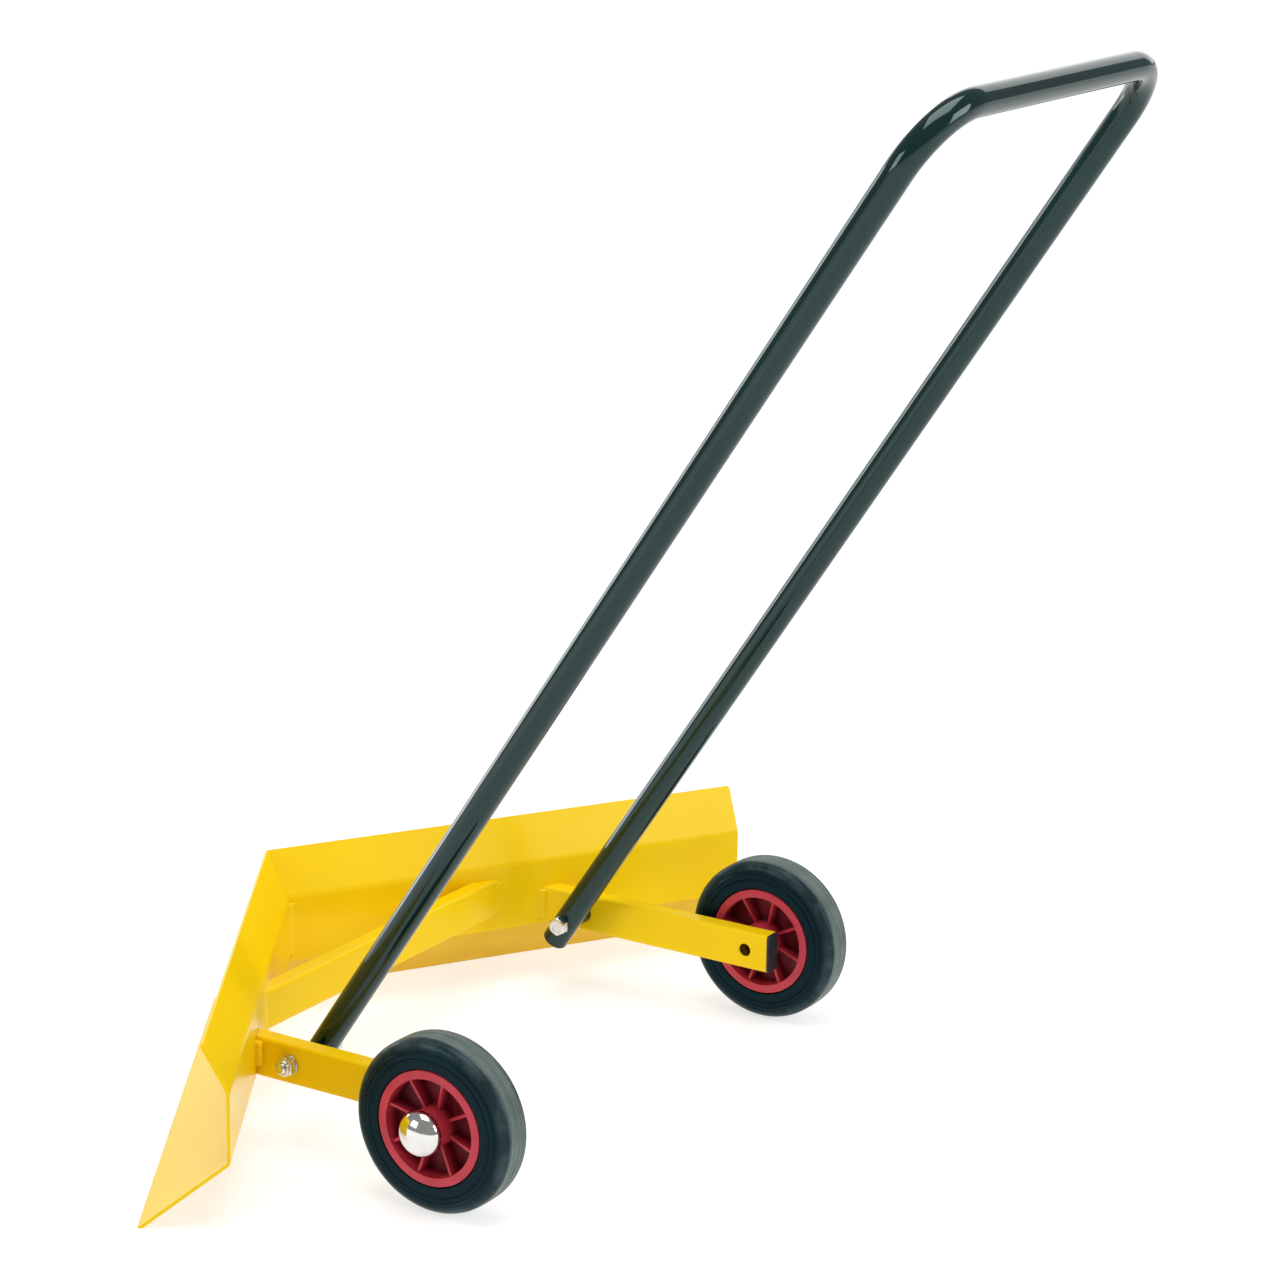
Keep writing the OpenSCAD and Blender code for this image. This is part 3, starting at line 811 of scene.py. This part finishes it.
def hex_rings(start, end, flats, cut_start, cut_end):
    """Rings of a bolt head or nut, with its corners turned down at one or both ends."""
    corner = flats / math.sqrt(3)
    face_r = flats / 2 - 0.4 * MM
    slope, levels = 0.58, 6
    depth = (corner - face_r) * slope
    rings = []
    if cut_start:
        rings += [hex_ring(start + depth * i / levels, flats, face_r + (corner - face_r) * i / levels)
                  for i in range(levels)]
    else:
        rings.append(hex_ring(start, flats, corner))
    if cut_end:
        rings += [hex_ring(end - depth * i / levels, flats, face_r + (corner - face_r) * i / levels)
                  for i in range(levels, -1, -1)]
    else:
        rings.append(hex_ring(end, flats, corner))
    return rings


def bolt_shape():
    """Hexagon bolt along X: dished head at low x, plain shank, then threads to a chamfered end."""
    low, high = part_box("left_pivot_bolt")
    head_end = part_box("left_pivot_spacer")[0].x - 2 * (GRIP_R + 0.3 * MM)
    dish, dish_r, centre_r = 0.4 * MM, 5.6 * MM, 0.5 * MM
    thread_length, end_chamfer, under_head = 18 * MM, 1.0 * MM, 0.4 * MM
    flank, root = 0.45 * THREAD_PITCH, 0.6 * THREAD_PITCH
    rings = [circle(low.x + dish, centre_r), circle(low.x + dish, dish_r - dish), circle(low.x, dish_r)]
    rings += hex_rings(low.x, head_end, BOLT_FLATS, True, False)
    rings += [circle(head_end, BOLT_R + under_head), circle(head_end + under_head, BOLT_R)]
    x = high.x - thread_length
    while x < high.x - end_chamfer - THREAD_PITCH:
        rings += [circle(x, BOLT_R), circle(x + flank, BOLT_R - THREAD_DEPTH),
                  circle(x + root, BOLT_R - THREAD_DEPTH)]
        x += THREAD_PITCH
    rings += [circle(x, BOLT_R), circle(high.x - end_chamfer, BOLT_R),
              circle(high.x, BOLT_R - end_chamfer), circle(high.x, centre_r)]
    return skin(rings)


def nut_shape():
    """Self-locking nut: hexagon, a rolled collar, and the insert's step inside it."""
    low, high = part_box("left_pivot_nut")
    collar, collar_r = 3 * MM, BOLT_FLATS / 2 - 1 * MM
    insert_r, insert_depth, insert_taper = BOLT_R + 0.9 * MM, 0.5 * MM, 0.1 * MM
    roll, roll_steps = 1.2 * MM, 5
    rings = hex_rings(low.x, high.x - collar, BOLT_FLATS, True, True)
    rings += [circle(high.x - collar, collar_r), circle(high.x - roll, collar_r)]
    rings += [circle(high.x - roll + roll * math.sin(a), collar_r - roll * (1 - math.cos(a)))
              for a in (math.pi / 2 * i / roll_steps for i in range(1, roll_steps + 1))]
    rings += [circle(high.x, insert_r), circle(high.x - insert_depth, insert_r - insert_taper),
              circle(high.x - insert_depth, BOLT_R), circle(low.x, BOLT_R)]
    return skin(rings, closed=True)


for side_name, sign in SIDES.items():
    piece(f"{side_name}_bolt", f"{side_name}_pivot_bolt", placed(bolt_shape(), PIVOT, sign), sharp=32)
    piece(f"{side_name}_lock_nut", f"{side_name}_pivot_nut", placed(nut_shape(), PIVOT, sign), sharp=32)
    copied(f"{side_name}_spacer_sleeve", f"{side_name}_pivot_spacer", bevel=0.4 * MM, sharp=40)
    copied(f"{side_name}_nut_washer", f"{side_name}_pivot_washer", bevel=0.3 * MM, sharp=40)

# ------------------------------------------------------------------ handle

HANDLE_UP = (GRIP - PIVOT).normalized()
HANDLE_LENGTH = (GRIP - PIVOT).length
HANDLE_BACK = HANDLE_UP.cross(Vector((1, 0, 0)))


def in_handle(x, along, back=0.0):
    """A point given across, along the legs from the pivot, and out of the handle's plane."""
    return PIVOT + Vector((x, 0, 0)) + HANDLE_UP * along + HANDLE_BACK * back


def handle_line():
    """Centreline of the U from leg to leg, as ((across, along), heading) in the handle's plane."""
    straight = HANDLE_LENGTH - BEND_R
    leg_steps, bend_steps, bar_steps = 24, 28, 8
    leg = straight + LEG_TAIL
    bend = [math.pi / 2 * i / bend_steps for i in range(bend_steps)]
    line = [((-LEG_X, -LEG_TAIL + leg * i / leg_steps), math.pi / 2) for i in range(leg_steps)]
    line += [((-LEG_X + BEND_R - BEND_R * math.cos(a), straight + BEND_R * math.sin(a)), math.pi / 2 - a)
             for a in bend]
    line += [((-GRIP_HALF + 2 * GRIP_HALF * i / bar_steps, HANDLE_LENGTH), 0.0) for i in range(bar_steps)]
    line += [((GRIP_HALF + BEND_R * math.sin(a), straight + BEND_R * math.cos(a)), -a) for a in bend]
    line += [((LEG_X, straight - leg * i / leg_steps), -math.pi / 2) for i in range(leg_steps + 1)]
    return line


def handle_shape():
    """Bent tube with its wall, open at both ends."""
    count = 64

    def ring(point, heading, radius):
        (x, along), aside = point, turn(heading + math.pi / 2)
        points = []
        for j in range(count):
            around = 2 * math.pi * j / count
            out, back = radius * math.cos(around), radius * math.sin(around)
            points.append(tuple(in_handle(x + aside.x * out, along + aside.y * out, back)))
        return points

    line = handle_line()
    outer = [ring(p, h, GRIP_R) for p, h in line]
    inner = [ring(p, h, GRIP_R - GRIP_WALL) for p, h in reversed(line)]
    return skin(outer + inner, closed=True)


def drill_legs(obj):
    """Cuts the bolt holes through both legs."""
    hole_r, centre_r, reach = BOLT_R + 0.05 * MM, 0.01 * MM, 2 * GRIP_R
    bar = capped_lathe([(-reach, centre_r), (-reach, hole_r), (reach, hole_r), (reach, centre_r)], 48)
    bars = [placed(bar, Vector((side * LEG_X, PIVOT.y, PIVOT.z))) for side in SIDES.values()]
    verts, faces = joined(*bars)
    mesh = bpy.data.meshes.new("drill")
    mesh.from_pydata(verts, [], faces)
    drill = bpy.data.objects.new("drill", mesh)
    bpy.context.scene.collection.objects.link(drill)
    cut = obj.modifiers.new("holes", "BOOLEAN")
    cut.operation = "DIFFERENCE"
    cut.solver = "EXACT"
    cut.object = drill
    graph = bpy.context.evaluated_depsgraph_get()
    drilled = bpy.data.meshes.new_from_object(obj.evaluated_get(graph))
    obj.modifiers.remove(cut)
    obj.data = drilled
    shade(drilled, 40)
    bpy.data.objects.remove(drill)


handle = piece("handle_bent_tube", "handle_tube", handle_shape(), sharp=40)
drill_legs(handle)
for side_name in SIDES:
    copied(f"{side_name}_leg_plug", f"{side_name}_handle_plug", bevel=0.3 * MM, sharp=40)

# ------------------------------------------------------------------ stage

def aim(obj, target):
    """Turns a light so that it shines from where it stands to a target."""
    obj.rotation_euler = (Vector(target) - obj.location).to_track_quat("-Z", "Y").to_euler()


def softbox(name, place, target, size, power):
    """Rectangular light at a place, turned to a target."""
    light = bpy.data.lights.new(name, "AREA")
    light.shape = "RECTANGLE"
    light.size, light.size_y = size
    light.energy = power
    obj = bpy.data.objects.new(name, light)
    obj.location = place
    bpy.context.scene.collection.objects.link(obj)
    aim(obj, target)


def floor():
    """Wide pale disc just under the tyres, which glows more the further it is from the object."""
    radius, drop, count = 40, 0.1 * MM, 64
    verts = [(radius * math.cos(a), radius * math.sin(a), -drop)
             for a in (2 * math.pi * j / count for j in range(count))]
    mesh = bpy.data.meshes.new("floor")
    mesh.from_pydata(verts, [], [tuple(range(count))])
    obj = bpy.data.objects.new("floor", mesh)
    g = Graph("studio_floor")
    tint = g.mix(g.spread(g.noise(3, 3), 0, 1), (0.48, 0.48, 0.48), (0.46, 0.46, 0.46))
    near, far, near_glow, far_glow = 0.8, 3.0, 0.66, 0.92
    glow = g.spread(g.from_centre(), near_glow, far_glow, near, far)
    mesh.materials.append(g.set(Base_Color=tint, Roughness=0.75, Emission_Color=(1.0, 1.0, 1.0),
                                Emission_Strength=glow))
    bpy.context.scene.collection.objects.link(obj)


# Name: (place, target, (width, height), watts)
SOFTBOXES = {
    "overhead": ((0.3, 0.2, 3.4), (0, 0, 0.2), (2.2, 2.2), 62),
    "right_wall": ((-3.4, -0.5, 2.1), (0, 0.4, 0.98), (3.4, 2.2), 34),
    "front_left": ((3.4, -1.8, 1.8), (0, 0, 0.3), (1.6, 1.6), 40),
    "back": ((-0.7, 4.1, 2.1), (0, 0, 0.2), (2.0, 2.0), 68),
    "front_right": ((-1.7, -3.9, 1.0), (0.2, -0.3, 0.1), (3.0, 2.0), 20),
    "front_strip": ((-0.3, -3.9, 0.8), (0.1, 0, 0.5), (0.9, 2.0), 22),
}
ROOM_LEVEL = 0.30
BACKDROP_LEVEL = 1.0


def studio():
    """White backdrop for the camera, a dim room for reflections, and large softboxes."""
    world = bpy.data.worlds.new("studio")
    world.use_nodes = True
    nodes, links = world.node_tree.nodes, world.node_tree.links
    shader = nodes["Background"]
    shader.inputs["Color"].default_value = (1, 1, 1, 1)
    seen = nodes.new("ShaderNodeLightPath").outputs["Is Camera Ray"]
    level = nodes.new("ShaderNodeMapRange")
    level.inputs["To Min"].default_value = ROOM_LEVEL
    level.inputs["To Max"].default_value = BACKDROP_LEVEL
    links.new(seen, level.inputs["Value"])
    links.new(level.outputs["Result"], shader.inputs["Strength"])
    bpy.context.scene.world = world
    for name, settings in SOFTBOXES.items():
        softbox(name, *settings)
    bpy.context.scene.view_settings.view_transform = "Standard"


def camera():
    """Camera at the viewing angle: place, target and a slight roll."""
    place = Vector((2.7376, 1.7588, 1.3589))
    target = Vector((-0.0314, 0.0270, 0.4405))
    roll = math.radians(0.838)
    lens = 105.3
    data = bpy.data.cameras.new("camera")
    data.lens = lens
    data.sensor_width = 36
    obj = bpy.data.objects.new("camera", data)
    look = (target - place).to_track_quat("-Z", "Y").to_matrix().to_4x4()
    obj.matrix_world = Matrix.Translation(place) @ look @ Matrix.Rotation(roll, 4, "Z")
    bpy.context.scene.collection.objects.link(obj)
    bpy.context.scene.camera = obj


floor()
studio()
camera()
